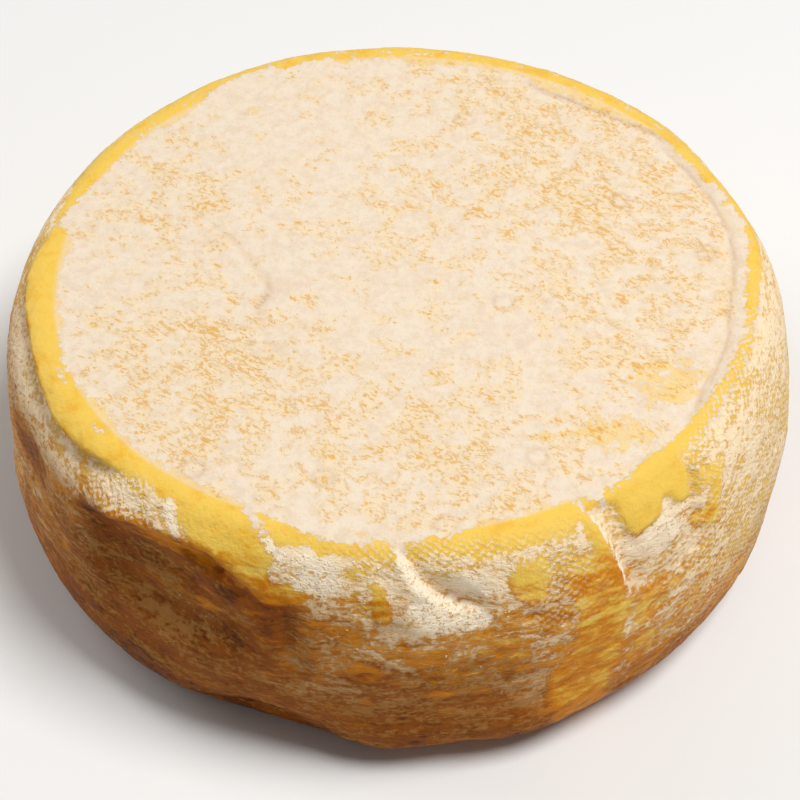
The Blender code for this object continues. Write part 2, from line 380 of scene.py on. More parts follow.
# The bare mesh: rings with fewer points towards the two middles
def ringMesh():
    runs = ringRuns()
    radii = np.interp(runs, profileRun, profileRadius)
    bearings, places, faces, first, counts = [0.0], [-wheelShape["topRadius"]], [], [], []
    total = 1
    for run, radius in zip(runs, radii):
        share = 0
        limit = 0.66 if run < 0 else 0.55
        while share < 4 and radius < wheelShape["beltRadius"] * limit / 2**share:
            share += 1
        count = wheelShape["segments"] >> share
        if run > baseRun + 3:
            count = min(count, wheelShape["segments"] >> 2)
        first.append(total)
        counts.append(count)
        bearings += list(np.arange(count) * 360 / count)
        places += [run] * count
        total += count
    bearings.append(0.0)
    places.append(profileRun[-1])
    for step in range(counts[0]):
        faces.append((0, first[0] + step, first[0] + (step + 1) % counts[0]))
    for a, n, b, m in zip(first, counts, first[1:], counts[1:]):
        for step in range(min(n, m)):
            after = (step + 1) % min(n, m)
            if n == m:
                faces.append((b + step, b + after, a + after, a + step))
            elif m == 2 * n:
                two = (2 * step + 2) % m
                faces += [(b + 2 * step, b + 2 * step + 1, a + step),
                          (b + 2 * step + 1, a + after, a + step), (b + 2 * step + 1, b + two, a + after)]
            elif n == 2 * m:
                two = (2 * step + 2) % n
                faces += [(b + step, a + 2 * step + 1, a + 2 * step),
                          (b + step, b + after, a + 2 * step + 1), (b + after, a + two, a + 2 * step + 1)]
            else:
                two = [(4 * step + part) % n for part in range(5)]
                faces += [(b + step, a + two[1], a + two[0]), (b + step, a + two[2], a + two[1]),
                          (b + step, b + after, a + two[2]), (b + after, a + two[3], a + two[2]),
                          (b + after, a + two[4], a + two[3])]
    for step in range(counts[-1]):
        faces.append((total, first[-1] + (step + 1) % counts[-1], first[-1] + step))
    return np.array(bearings), np.array(places), faces


# Distances on the skin: a piece of it is laid flat around the middle of a line
def chart(bearing, run, line):
    middle = np.mean([point[0] for point in line])
    radius = np.interp(np.mean([point[1] for point in line]), profileRun, profileRadius)
    across = np.radians(1) * radius
    flat = np.array([(turnFrom(point[0], middle) * across, point[1]) for point in line])
    return turnFrom(bearing, middle) * across, run, flat


def nearLine(u, v, line):
    best = np.full(len(u), 1e9)
    side = np.ones(len(u))
    share = np.zeros(len(u))
    lengths = np.hypot(*np.diff(line, axis=0).T)
    gone = 0.0
    for (ax, ay), (bx, by), length in zip(line, line[1:], lengths):
        dx, dy = (bx - ax) / length, (by - ay) / length
        along = np.clip((u - ax) * dx + (v - ay) * dy, 0, length)
        away = np.hypot(u - ax - along * dx, v - ay - along * dy)
        near = away < best
        best = np.where(near, away, best)
        side = np.where(near, np.sign(dx * (v - ay) - dy * (u - ax)), side)
        share = np.where(near, (gone + along) / lengths.sum(), share)
        gone += length
    return best, side, share


def insideEdge(u, v, edge):
    inside = np.zeros(len(u), bool)
    for (ax, ay), (bx, by) in zip(edge, np.roll(edge, -1, axis=0)):
        crosses = (ay > v) != (by > v)
        at = ax + (v - ay) * (bx - ax) / (by - ay if by != ay else 1e-9)
        inside ^= crosses & (u < at)
    away, _, _ = nearLine(u, v, np.vstack([edge, edge[:1]]))
    return np.where(inside, away, -away)


def onSkin(bearing, run, line, reach, measure):
    u, v, flat = chart(bearing, run, line)
    low, high = flat.min(0) - reach, flat.max(0) + reach
    near = (u > low[0]) & (u < high[0]) & (v > low[1]) & (v < high[1])
    return near, measure(u[near], v[near], flat)


# The real form: how far the skin moves inwards, in millimetres
def pressDepth(bearing, run, press):
    middle, height, halfWidth, halfHeight, tilt, depth, floor = press
    along = np.radians(turnFrom(bearing, middle)) * wheelShape["beltRadius"]
    up = runAtHeight(height) - run
    turn = math.radians(tilt)
    across = (along * math.cos(turn) + up * math.sin(turn)) / halfWidth
    above = (up * math.cos(turn) - along * math.sin(turn)) / halfHeight
    return depth * (1 - smoothStep(np.hypot(across, above), floor, 1))


def creaseDepth(bearing, run, crease):
    depth = np.zeros(len(run))
    reach = 3 * max(crease["inner"][1], crease["outer"][1])
    near, (away, side, share) = onSkin(bearing, run, crease["line"], reach, nearLine)
    ends = betweenEnds(share, crease["ends"][0], 1 - crease["ends"][1])
    line = crease["line"]
    leftIsInner = 1 if line[0][0] > line[-1][0] else -1
    signed = away * side * leftIsInner  # positive on the inner side of the line
    (inRise, inReach), (outRise, outReach) = crease["inner"], crease["outer"]
    turnOver = crease.get("round", 0.5)
    mix = smoothStep(signed, -turnOver, turnOver)
    depth[near] = -(inRise * hump(away, inReach) * mix + outRise * hump(away, outReach) * (1 - mix)) * ends
    return depth


def patchCover(bearing, run, edge):
    cover = np.full(len(run), -9.0)
    near, away = onSkin(bearing, run, edge, 9, insideEdge)
    cover[near] = away
    return cover


def foldSide(x, y):
    away, side, share = nearLine(x, y, np.array(topFold))
    return away * side, betweenEnds(share, 0.2, 0.5)


def topMarks(x, y):
    depth = np.zeros(len(x))
    for ringX, ringY in ringMarks:
        away = np.hypot(x - ringX, y - ringY)
        depth += markSizes["ringDepth"] * hump(away - markSizes["ringRadius"], markSizes["ringWidth"])
    away, _, _ = nearLine(x, y, np.array(crackLine))
    depth += markSizes["crackDepth"] * hump(away, markSizes["crackWidth"])
    side, ends = foldSide(x, y)
    rise, drop = markSizes["foldRise"] * hump(side - 1.4, 1.5), markSizes["foldDrop"] * hump(side + 1, 1.3)
    return depth + ends * (rise - drop)


# Top stains: faint rings, painted shade in the crack, and a painted shadow along one side of the low fold
def markShare(x, y):
    side, ends = foldSide(x, y)
    mark = 0.22 * ends * hump(side - 1, 0.8)
    for ringX, ringY in ringMarks:
        away = np.hypot(x - ringX, y - ringY)
        mark = np.maximum(mark, 0.3 * hump(away - markSizes["ringRadius"], 0.4))
    away, _, _ = nearLine(x, y, np.array(crackLine))
    return np.maximum(mark, 0.75 * hump(away, 0.28))


# Painted shade in the groove of the fold along the right rim
def grooveShade(bearing, run):
    mark = np.zeros(len(run))
    for name, strength in (("rimGroove", 0.45), ("backFold", 0.35)):
        near, (away, _, share) = onSkin(bearing, run, creases[name]["line"], 4, nearLine)
        ends = betweenEnds(share, 0.1, 0.85)
        mark[near] = np.maximum(mark[near], strength * ends * hump(away, 0.4))
    return mark


def skinDepth(bearing, run, radius, places):
    x, y = places[:, 0], places[:, 1]
    depth = np.zeros(len(run))
    for press in presses.values():
        depth += pressDepth(bearing, run, press)
    for crease in creases.values():
        depth += creaseDepth(bearing, run, crease)
    for patch in patches.values():
        soft = 0.5 if patch["rise"] > 0 else 2.4  # a hollow has no sharp edge
        depth -= patch["rise"] * smoothStep(patchCover(bearing, run, patch["edge"]), -soft, soft)
    for size, reach, octaves in wheelShape["swells"]:
        depth += reach * unevenness(places, size, octaves)
    depth += wheelShape["dish"] * (1 - smoothStep(radius / wheelShape["topRadius"], 0.1, 0.97)) * (run < 0)
    depth += topMarks(x, y) * (run < -1)
    return depth


def outOfRound(bearing, height):
    shape = wheelShape
    (oval, ovalAt), (square, squareAt), (lean, leanAt) = shape["oval"], shape["square"], shape["lean"]
    rise = smoothStep(height / shape["height"], 0.4, 1)
    return (oval * np.cos(np.radians(2 * (bearing - ovalAt)))
            + square * np.cos(np.radians(4 * (bearing - squareAt)))
            + lean * np.cos(np.radians(bearing - leanAt)) * rise)


# How the rind is covered, point by point. Shares run from 0 to 1, bareness is in millimetres from its edge.
def nearStrokes(bearing, run):
    for line, halfWidth, thick in whiteStrokes.values():
        near, (away, _, _) = onSkin(bearing, run, line, 6, nearLine)
        yield near, away, halfWidth, thick


def belowShoulder(bearing, run):
    below, ends = np.full(len(run), -9.0), np.zeros(len(run))
    near, (away, side, share) = onSkin(bearing, run, creases["shoulderEdge"]["line"], 12, nearLine)
    below[near] = away * side
    ends[near] = betweenEnds(share, 0.3, 0.8)
    return below, ends


def bareness(bearing, run, x, y):
    inner, outer = (np.interp(bearing, *zip(*edge)) for edge in (bandInner, bandOuter))
    bare = np.minimum(run - inner, outer - run)
    stripe = np.array(stripeLeft + stripeRight[::-1])
    loose = smoothStep(run, 14, 36)  # its edges break up towards the foot
    stripeBare = patchCover(bearing, run, stripe) * (1 - 0.5 * loose)
    bare = np.maximum(bare, np.minimum(stripeBare, 1.1 - 0.4 * loose))
    below, ends = belowShoulder(bearing, run)
    bare = np.maximum(bare, ends * (2.6 - np.abs(below - 0.6)) - 4 * (1 - ends))
    covered = patchCover(bearing, run, patches["hollow"]["edge"])
    bare = np.where(covered > 0, np.minimum(bare, -covered - 0.3), bare)
    for patch in patches.values():
        if patch["bare"]:
            bare = np.maximum(bare, patchCover(bearing, run, patch["edge"]))
    for middle, at, halfWidth, halfHeight in bareSpots:
        across = np.radians(turnFrom(bearing, middle)) * wheelShape["beltRadius"] / halfWidth
        spot = (1 - np.hypot(across, (run - at) / halfHeight)) * 1.4
        bare = np.maximum(bare, np.minimum(spot, 0.4))
    for spotX, spotY, halfWidth, halfHeight in wornSpots:
        spot = (1 - np.hypot((x - spotX) / halfWidth, (y - spotY) / halfHeight)) * 1.2
        bare = np.where(run < -2, np.maximum(bare, np.minimum(spot, 0.25)), bare)
    for near, away, halfWidth, _ in nearStrokes(bearing, run):
        bare[near] = np.minimum(bare[near], (away - halfWidth) * 1.4)
    crumb = patchCover(bearing, run, patches["whiteCrumb"]["edge"])
    broken = 0
    for middle, start, stop, inside, beyond in brokenBands:
        change = smoothStep(np.abs(turnFrom(bearing, middle)), start, stop)
        broken = np.maximum(broken, inside + (beyond - inside) * change)
    bare = np.where(run < 5, np.minimum(bare, 4 - 3.5 * broken), bare)
    return np.clip(np.minimum(bare, -crumb), -4, 4)


def addFields(share, bearing, run, fields):
    for middle, at, halfWidth, halfHeight, amount in fields:
        away = np.hypot(turnFrom(bearing, middle) / halfWidth, (run - at) / halfHeight)
        share = share + amount * (1 - smoothStep(away, 0.2, 1))
    return share


def clothShare(bearing, run):
    share = addFields(0.28 * smoothStep(run, -1, 2), bearing, run, coverFields["cloth"])
    smooth = smoothStep(patchCover(bearing, run, patches["tongues"]["edge"]), -0.5, 0.3)
    clean = np.any([(bearing > first) & (bearing < last) for first, last in cleanBands], axis=0)
    clean &= run < np.interp(bearing, *zip(*bandOuter))
    return np.clip(share, 0, 1) * (1 - smooth) * (1 - clean)


# Near the lip and shoulder creases the rind is browned and its bloom thinned: a real amber edge and painted
# shade in the crease
def nearCreases(bearing, run, width):
    near = np.zeros(len(run))
    for name in ("lip", "shoulderEdge"):
        here, (away, _, share) = onSkin(bearing, run, creases[name]["line"], 4, nearLine)
        ends = betweenEnds(share, 0.12, 0.7, 0.95)
        near[here] = np.maximum(near[here], hump(away, width) * ends)
    return near


def bloomShare(bearing, run):
    share = 1 - 0.42 * smoothStep(run, 0, 4)
    share = share - 0.16 * smoothStep(run, 10, 20) - 0.14 * smoothStep(run, 32, 48)
    share = addFields(share, bearing, run, coverFields["bloom"])
    for near, away, halfWidth, thick in nearStrokes(bearing, run):
        share[near] += thick * (1 - smoothStep(away, halfWidth * 0.6, halfWidth * 1.3))
    below, ends = belowShoulder(bearing, run)
    # less bloom just under the shoulder edge, so the painted shade there shows
    share -= 0.3 * ends * hump(below - 1.5, 3)
    return np.clip(share - 0.5 * nearCreases(bearing, run, 1.1) * (run > 2), 0, 1)


def fleckShare(x, y):
    share = np.full(len(x), 0.5)
    for middleX, middleY, reach, amount in fleckFields:
        share += amount * np.exp(-(((x - middleX) ** 2 + (y - middleY) ** 2) / reach**2))
    return np.clip(share, 0.2, 1)


# Browner rind where it is older, plus painted shade on the front-left wall, under the shoulder, along the
# creases and at the foot
def ageAndShadeShare(bearing, run):
    ageAndShade = 0.4 * smoothStep(run, 4, 14) + 0.4 * smoothStep(run, 26, 54)  # darker towards the foot: partly older rind, partly painted shade low on the wall
    ageAndShade = addFields(ageAndShade, bearing, run, coverFields["ageAndShade"])
    below, ends = belowShoulder(bearing, run)
    # painted shade under the overhanging shoulder edge, laid on as browner rind
    ageAndShade += 0.5 * ends * smoothStep(below, -3.0, 2.2) * (1 - smoothStep(below, 5, 12))
    return np.clip(ageAndShade + 0.4 * nearCreases(bearing, run, 0.8), 0, 1)


# Greyed bloom, darker down the wall: partly its own colour, partly painted shade
def greyAndShadeShare(bearing, run):
    return np.clip(addFields(0.2 * smoothStep(run, 8, 20), bearing, run, coverFields["greyAndShade"]), 0, 1)


def crumbShare(bearing, run, bare):
    share = 0.1 * smoothStep(run, 1, 5) * (1 - smoothStep(run, 40, 50))
    share = addFields(share, bearing, run, coverFields["crumbs"])
    for near, away, halfWidth, _ in nearStrokes(bearing, run):
        share[near] += 0.5 * hump(away, halfWidth)
    solid = smoothStep(bloomShare(bearing, run), 0.45, 0.75)
    return np.clip(share, 0, 1) * (1 - smoothStep(bare, -1.6, 0.2)) * (0.15 + 0.85 * solid)


def formWheel():
    bearing, run, faces = ringMesh()
    radius = np.interp(run, profileRun, profileRadius)
    height = np.interp(run, profileRun, profileHeight)
    turn = np.radians(bearing)
    x, y = radius * np.cos(turn), radius * np.sin(turn)
    step = 0.05
    outR, outZ = (np.interp(run + step, profileRun, line) - np.interp(run - step, profileRun, line)
                  for line in (profileRadius, profileHeight))
    length = np.maximum(np.hypot(outR, outZ), 1e-9)
    normalR, normalZ = -outZ / length, outR / length
    places = np.stack([x, y, height], 1)
    depth = skinDepth(bearing, run, radius, places) * smoothStep(height, 0, 5)
    stretch = 1 + outOfRound(bearing, height) / wheelShape["beltRadius"]
    moved = np.stack([x * stretch - normalR * np.cos(turn) * depth,
                      y * stretch - normalR * np.sin(turn) * depth, height - normalZ * depth], 1)
    mesh = bpy.data.meshes.new("cheeseRind")
    mesh.from_pydata((moved * mm).tolist(), [], faces)
    bare = bareness(bearing, run, x, y)
    shares = {
        "bare": bare,
        "cloth": clothShare(bearing, run),
        "bloom": bloomShare(bearing, run),
        "fleck": fleckShare(x, y) * (1 - smoothStep(run, -3, 0)),
        "ageAndShade": ageAndShadeShare(bearing, run),
        "top": 1 - smoothStep(run, 0, 6),
        "crumbs": crumbShare(bearing, run, bare),
        "mark": np.maximum(markShare(x, y) * (run < -1), grooveShade(bearing, run)),
        "greyAndShade": greyAndShadeShare(bearing, run),
    }
    for name, values in shares.items():
        layer = mesh.attributes.new(name, "FLOAT", "POINT")
        layer.data.foreach_set("value", values.astype(np.float32))
    threadMap(mesh, bearing, run, x, y)
    mesh.shade_smooth()
    return placeObject("cheeseRind", mesh)


# The cloth's threads are counted along and down the wall, and straight across the top
threads = {"around": 500, "pitch": 0.64}


def threadMap(mesh, bearing, run, x, y):
    corners = np.empty(len(mesh.loops), int)
    mesh.loops.foreach_get("vertex_index", corners)
    starts = np.empty(len(mesh.polygons), int)
    mesh.polygons.foreach_get("loop_start", starts)
    face = np.repeat(np.arange(len(starts)), np.diff(np.r_[starts, len(corners)]))
    lowest = np.minimum.reduceat(bearing[corners], starts)
    highest = np.maximum.reduceat(bearing[corners], starts)
    wraps = (highest - lowest > 180)[face] & (bearing[corners] < 180)
    around = (bearing[corners] + 360 * wraps) / 360 * threads["around"]
    onTop = (np.minimum.reduceat(run[corners], starts) < -3)[face]
    u = np.where(onTop, x[corners] / threads["pitch"], around)
    v = np.where(onTop, y[corners] / threads["pitch"], run[corners] / threads["pitch"])
    layer = mesh.uv_layers.new(name="threads")
    layer.data.foreach_set("uv", np.stack([u, v], 1).astype(np.float32).ravel())


# Shader and geometry nodes. A Reading is what a socket gives out, so that a sum on it is written as a sum.
class Reading:
    def __init__(self, socket):
        self.socket, self.tree = socket, socket.id_data

    def __add__(self, other):
        return calc("ADD", self, other)

    def __sub__(self, other):
        return calc("SUBTRACT", self, other)

    def __rsub__(self, other):
        return calc("SUBTRACT", other, self)

    def __mul__(self, other):
        return calc("MULTIPLY", self, other)

    def __rtruediv__(self, other):
        return calc("DIVIDE", other, self)

    def feed(self, socket):
        self.tree.links.new(self.socket, socket)


def addNode(tree, kind, values=None, **settings):
    node = tree.nodes.new(kind)
    for name, value in settings.items():
        setattr(node, name, value)
    for name, value in (values or {}).items():
        if isinstance(value, Reading):
            value.feed(node.inputs[name])
        else:
            node.inputs[name].default_value = value
    return node


def read(tree, kind, values=None, output=0, **settings):
    return Reading(addNode(tree, kind, values, **settings).outputs[output])


def calc(operation, first, second=None):
    tree = (first if isinstance(first, Reading) else second).tree
    values = {0: first} if second is None else {0: first, 1: second}
    return read(tree, "ShaderNodeMath", values, operation=operation)


def higher(first, second):
    return calc("MAXIMUM", first, second)


def about(reading, amount):  # noise swings about a half
    return (reading - 0.5) * amount


def vectorCalc(operation, first, second):
    return read(first.tree, "ShaderNodeVectorMath", {0: first, 1: second}, operation=operation)


def scaled(vector, scale):
    return read(vector.tree, "ShaderNodeVectorMath", {0: vector, "Scale": scale}, operation="SCALE")


def rampStep(reading, low, high, outLow=0.0, outHigh=1.0):
    values = {"Value": reading, "From Min": low, "From Max": high, "To Min": outLow, "To Max": outHigh}
    return read(reading.tree, "ShaderNodeMapRange", values, interpolation_type="SMOOTHSTEP")


def blend(share, first, second):
    return read(share.tree, "ShaderNodeMix", {0: share, 6: first, 7: second}, 2, data_type="RGBA")


def speckle(place, size, detail=2.0, roughness=0.5, distortion=0.0):
    return read(place.tree, "ShaderNodeTexNoise", {"Vector": place, "Scale": 1 / size, "Detail": detail,
                                                   "Roughness": roughness, "Distortion": distortion}, "Fac")


def newTree(name, kind, inputs, outputs):
    tree = bpy.data.node_groups.new(name, kind)
    for sockets, inOut in ((inputs, "INPUT"), (outputs, "OUTPUT")):
        for label, socketKind in sockets.items():
            tree.interface.new_socket(label, in_out=inOut, socket_type="NodeSocket" + socketKind)
    sources = tree.nodes.new("NodeGroupInput").outputs
    given = {label: Reading(sources[label]) for label in inputs}
    return tree, given, tree.nodes.new("NodeGroupOutput").inputs


def colour(red, green, blue):
    return tuple((part / 255 / 12.92 if part < 10.3 else ((part / 255 + 0.055) / 1.055) ** 2.4)
                 for part in (red, green, blue)) + (1.0,)


def paints(look):  # a look with its colours made ready for the shader
    return {name: colour(*value) if isinstance(value, tuple) else value for name, value in look.items()}


def newMaterial(name):
    material = bpy.data.materials.new(name)
    material.use_nodes = True
    shader = material.node_tree.nodes["Principled BSDF"]
    place = scaled(read(material.node_tree, "ShaderNodeTexCoord", output="Object"), 1 / mm)
    return material, shader, place


def shareIn(tree, name):
    return read(tree, "ShaderNodeAttribute", output="Fac", attribute_name=name)


clothLook = {
    "Warp": 0.55, "Knot Size": 0.05, "knotEdge": 0.35, "bendsPerMm": 0.22, "bend": 6.0, "roughSize": 0.9,
    "rough": 3.4,
}


# The print of the cloth: raised knots in rows, bent a little as the cloth was
def clothPrintGroup():
    tree, given, result = newTree(
        "cloth print", "ShaderNodeTree",
        {"Place": "Vector", "Threads": "Vector", "Warp": "Float", "Knot Size": "Float"},
        {"Knots": "Float", "Height": "Float"})
    bend = read(tree, "ShaderNodeTexNoise", {"Vector": given["Place"], "Scale": clothLook["bendsPerMm"],
                                             "Detail": 4.0, "Roughness": 0.65}, "Color")
    bend = scaled(vectorCalc("SUBTRACT", bend, (0.5, 0.5, 0.5)), given["Warp"] * clothLook["bend"])
    thread = vectorCalc("ADD", given["Threads"], bend)
    along, down, _ = addNode(tree, "ShaderNodeSeparateXYZ", {0: thread}).outputs
    weave = calc("COSINE", Reading(along) * math.pi) * calc("COSINE", Reading(down) * math.pi)
    weave = weave + about(speckle(given["Place"], clothLook["roughSize"], 3.0, 0.6), clothLook["rough"])
    knotTop = given["Knot Size"] + clothLook["knotEdge"]
    rampStep(weave, given["Knot Size"], knotTop).feed(result["Knots"])
    (weave * 0.5).feed(result["Height"])
    return tree


fleckLook = {
    "Grain": 35.0, "Stretch": 2.1, "gate": 0.22, "clusterSize": 4.2, "markSize": 1.5, "crackSize": 2.0,
    "breakSize": 1.1,
}


# Short marks and cracks, in loose clusters, where the rind shows through the bloom
def fleckGroup():
    look = fleckLook
    tree, given, result = newTree(
        "rind flecks", "ShaderNodeTree",
        {"Place": "Vector", "Amount": "Float", "Grain": "Float", "Stretch": "Float"},
        {"Flecks": "Float", "Stain": "Float"})
    turned = read(tree, "ShaderNodeVectorRotate", {"Vector": given["Place"], "Axis": (0, 0, 1),
                                                   "Angle": calc("RADIANS", given["Grain"])})
    stretch = read(tree, "ShaderNodeCombineXYZ", {"X": 1.0, "Y": given["Stretch"], "Z": 1.0})
    place = vectorCalc("MULTIPLY", turned, stretch)
    gate = about(given["Amount"], look["gate"])
    clusters = speckle(given["Place"], look["clusterSize"], 3.0, 0.6) + gate
    bits = speckle(place, look["markSize"], 3.0, 0.55, 0.9) + about(clusters, 0.6)
    lines = calc("ABSOLUTE", speckle(place, look["crackSize"], 3.0, 0.5, 0.7) - 0.5)
    breaks = speckle(given["Place"], look["breakSize"], 2.0) + gate * 0.7
    cracks = rampStep(lines, 0.008, 0.036, 1.0, 0.0) * rampStep(breaks, 0.5, 0.57)
    cracks = cracks * rampStep(clusters, 0.45, 0.56)
    (higher(rampStep(bits, 0.61, 0.74), cracks) * 0.9).feed(result["Flecks"])
    rampStep(clusters, 0.44, 0.64).feed(result["Stain"])
    return tree


rindLook = {
    "yellow": (236, 196, 88),
    "deepYellow": (230, 172, 46),
    "ochre": (208, 126, 10),
    "brown": (146, 74, 8),
    # darkBrown shows only where age and painted shade pile up, as under the shoulder and in the scoop
    "darkBrown": (84, 38, 6),
    "topCream": (231, 214, 192),
    "topPink": (224, 203, 178),
    "whiteCrumb": (255, 236, 208),
    "crumb": (249, 223, 185),
    # greyCrumb and greyVeil are greyed bloom, also standing in for bloom in painted shade; the
    # aged-and-shaded ones are browner still
    "greyCrumb": (174, 138, 92),
    "agedAndShadedCrumb": (182, 132, 72),
    "veil": (212, 164, 96),
    "greyVeil": (122, 86, 44),
    "agedAndShadedVeil": (152, 88, 22),
    "fleck": (217, 159, 70),
    "mark": (170, 118, 66),
    "stain": (236, 204, 146),
    "bareRoughness": 0.42,
    "bloomRoughness": 0.9,
    "gloss": 0.08,
    "subsurface": 0.12,
    "subsurfaceDepth": 2.0,
    "flatten": 3.0,  # streaks on the wall are this many times longer than tall
    "edgeSize": 2.4, "edgeReach": 5.5,  # how the edges of the bloom wander
    "fineEdgeSize": 0.8, "fineEdgeReach": 2.0,
    "streakSize": 3.2, "streaks": 0.8,  # what breaks up the bloom
    "patchSize": 10.0, "patches": 0.7,
    "grainSize": 0.9, "grain": 0.4,
    "bloomCounts": 0.34, "weaveShows": 0.09,
    "toneSize": 5.0, "ageSize": 11.0, "cloudSize": 2.2, "greySize": 4.0,
    "bloomHeight": 0.05, "weaveHeight": 0.1, "rowSize": 1.7, "bumpStrength": 0.9,
}
grainHeights = {0.45: 0.08, 1.5: 0.28}  # grain size and its height


def rindMaterial():
    look = paints(rindLook)
    material, shader, place = newMaterial("ripened rind")
    tree = material.node_tree
    flatPlace = vectorCalc("MULTIPLY", place, (1.0, 1.0, look["flatten"]))
    bare, printed, bloom, fleck, ageAndShade, greyAndShade, top, mark = (
        shareIn(tree, name) for name in ("bare", "cloth", "bloom", "fleck", "ageAndShade", "greyAndShade", "top", "mark"))
    cloth = addNode(tree, "ShaderNodeGroup", {
        "Place": place, "Threads": read(tree, "ShaderNodeUVMap", uv_map="threads"),
        "Warp": clothLook["Warp"], "Knot Size": clothLook["Knot Size"]}, node_tree=clothPrintGroup()).outputs
    flecks = addNode(tree, "ShaderNodeGroup", {
        "Place": place, "Amount": fleck, "Grain": fleckLook["Grain"], "Stretch": fleckLook["Stretch"]},
        node_tree=fleckGroup()).outputs
    weave, knots = Reading(cloth["Height"]) * printed, Reading(cloth["Knots"])
    onTop = rampStep(fleck, 0.02, 0.2)

    # how much bloom covers the rind: a thin veil with thick crumbs on it
    edge = bare + about(speckle(place, look["edgeSize"], 6.0, 0.75), look["edgeReach"])
    edge = edge + about(speckle(place, look["fineEdgeSize"]), look["fineEdgeReach"])
    streaks = speckle(flatPlace, look["streakSize"], 5.0, 0.66, 1.0)
    patchy = speckle(flatPlace, look["patchSize"], 4.0, 0.6, 0.3)
    crumbs = about(streaks, look["streaks"]) + about(patchy, look["patches"])
    crumbs = crumbs + about(bloom, look["bloomCounts"])
    crumbs = crumbs + about(speckle(place, look["grainSize"], 3.0, 0.6), look["grain"])
    crumbs = crumbs + weave * look["weaveShows"]
    thick = higher(rampStep(crumbs, -0.06, 0.11), onTop) * rampStep(edge, -0.25, 0.25, 1.0, 0.0)
    veil = rampStep(crumbs + 0.1, -0.08, 0.14, 0.0, 0.75) * rampStep(edge, -0.5, 0.6, 1.0, 0.0)
    veil = veil * (1.0 - top)
    thick = higher(thick, knots * rampStep(printed, 0.2, 0.7) * rampStep(edge, 0.4, 2.0, 0.8, 0.0))
    gaps = (1.0 - knots) * onTop * rampStep(printed, 0.05, 0.6, 0.0, 0.35)
    fleckMask = higher(Reading(flecks["Flecks"]) * onTop, gaps)
    thick = thick * (1.0 - fleckMask * 0.85)
    thick = higher(thick, (onTop - fleckMask) * 0.5)  # a worn place on the top is still dusted

    # rind colour: browner with age and with painted shade
    tone = speckle(flatPlace, look["toneSize"], 5.0, 0.66, 0.3)
    rind = blend(rampStep(tone + ageAndShade * 0.35, 0.46, 0.8), look["yellow"], look["deepYellow"])
    fresh = rampStep(bare, -0.2, 1.0, 1.0, 0.62)  # the smooth bare skin stays younger
    rindAgeAndShade = ageAndShade * fresh + about(tone, 1.5) * rampStep(ageAndShade, 0.0, 0.4, 0.12, 1.0)
    rindAgeAndShade = rindAgeAndShade + about(speckle(place, look["ageSize"], 3.0), 1.2) * ageAndShade
    for name, low, high in (("ochre", 0.05, 0.42), ("brown", 0.4, 0.78), ("darkBrown", 0.8, 1.15)):
        rind = blend(rampStep(rindAgeAndShade, low, high), rind, look[name])
    rind = blend(fleckMask, rind, look["fleck"])

    # bloom colour: greyed, browned with age, and darkened by painted shade
    cloud = speckle(place, look["cloudSize"], 6.0, 0.75)
    topColour = blend(rampStep(cloud, 0.4, 0.64), look["topCream"], look["topPink"])
    topColour = blend(Reading(flecks["Stain"]) * 0.35, topColour, look["stain"])
    greyedAndShaded = rampStep(greyAndShade + about(speckle(place, look["greySize"], 5.0, 0.7), 0.8), 0.1, 0.9)
    filmAgeAndShade = rampStep(ageAndShade + about(tone, 0.6), 0.2, 0.85)
    crumb = blend(filmAgeAndShade, blend(greyedAndShaded, look["crumb"], look["greyCrumb"]), look["agedAndShadedCrumb"])
    crumb = blend(rampStep(bloom + about(cloud, 0.5), 0.7, 1.0), crumb, look["whiteCrumb"])
    crumb = blend(rampStep(top + about(cloud, 0.8), 0.4, 0.8), crumb, topColour)
    veilColour = blend(filmAgeAndShade, blend(greyedAndShaded, look["veil"], look["greyVeil"]), look["agedAndShadedVeil"])
    thick = thick * rampStep(filmAgeAndShade * (1.0 - top), 0.2, 1.0, 1.0, 0.6)  # film is thinner where age and painted shade are high
    skin = blend(thick, blend(veil, rind, veilColour), crumb)
    # Marks: ring stains on the top, and painted shade in the crack, beside the top fold and in the rim
    # groove
    blend(mark * 0.7, skin, look["mark"]).feed(shader.inputs["Base Color"])
    read(tree, "ShaderNodeMapRange", {"Value": higher(veil, thick), "To Min": look["bareRoughness"],
                                      "To Max": look["bloomRoughness"]}).feed(shader.inputs["Roughness"])
    paste = {"Specular IOR Level": look["gloss"], "Subsurface Weight": look["subsurface"],
             "Subsurface Radius": (1.0, 0.5, 0.2), "Subsurface Scale": look["subsurfaceDepth"] * mm}
    for name, value in paste.items():
        shader.inputs[name].default_value = value

    # relief in millimetres
    height = thick * look["bloomHeight"]
    for size, amount in grainHeights.items():
        height = height + speckle(place, size, 3.0, 0.6) * amount
    height = height + weave * look["weaveHeight"]
    rowsShow = (1.0 - top) * rampStep(edge, 0.0, 1.0, 0.4, 0.08)
    height = height + about(speckle(flatPlace, look["rowSize"], 3.0, 0.6, 0.8), 1.0) * rowsShow
    read(tree, "ShaderNodeBump", {"Height": height, "Distance": mm, "Strength": look["bumpStrength"]}).feed(
        shader.inputs["Normal"])
    return material


def shareOf(tree, name):
    return read(tree, "GeometryNodeInputNamedAttribute", {"Name": name}, "Attribute", data_type="FLOAT")


def alongNormal(geometry, amount):
    push = scaled(read(geometry.tree, "GeometryNodeInputNormal"), amount)
    return read(geometry.tree, "GeometryNodeSetPosition", {"Geometry": geometry, "Offset": push})


def setMaterial(geometry, material):
    return read(geometry.tree, "GeometryNodeSetMaterial", {"Geometry": geometry, "Material": material})


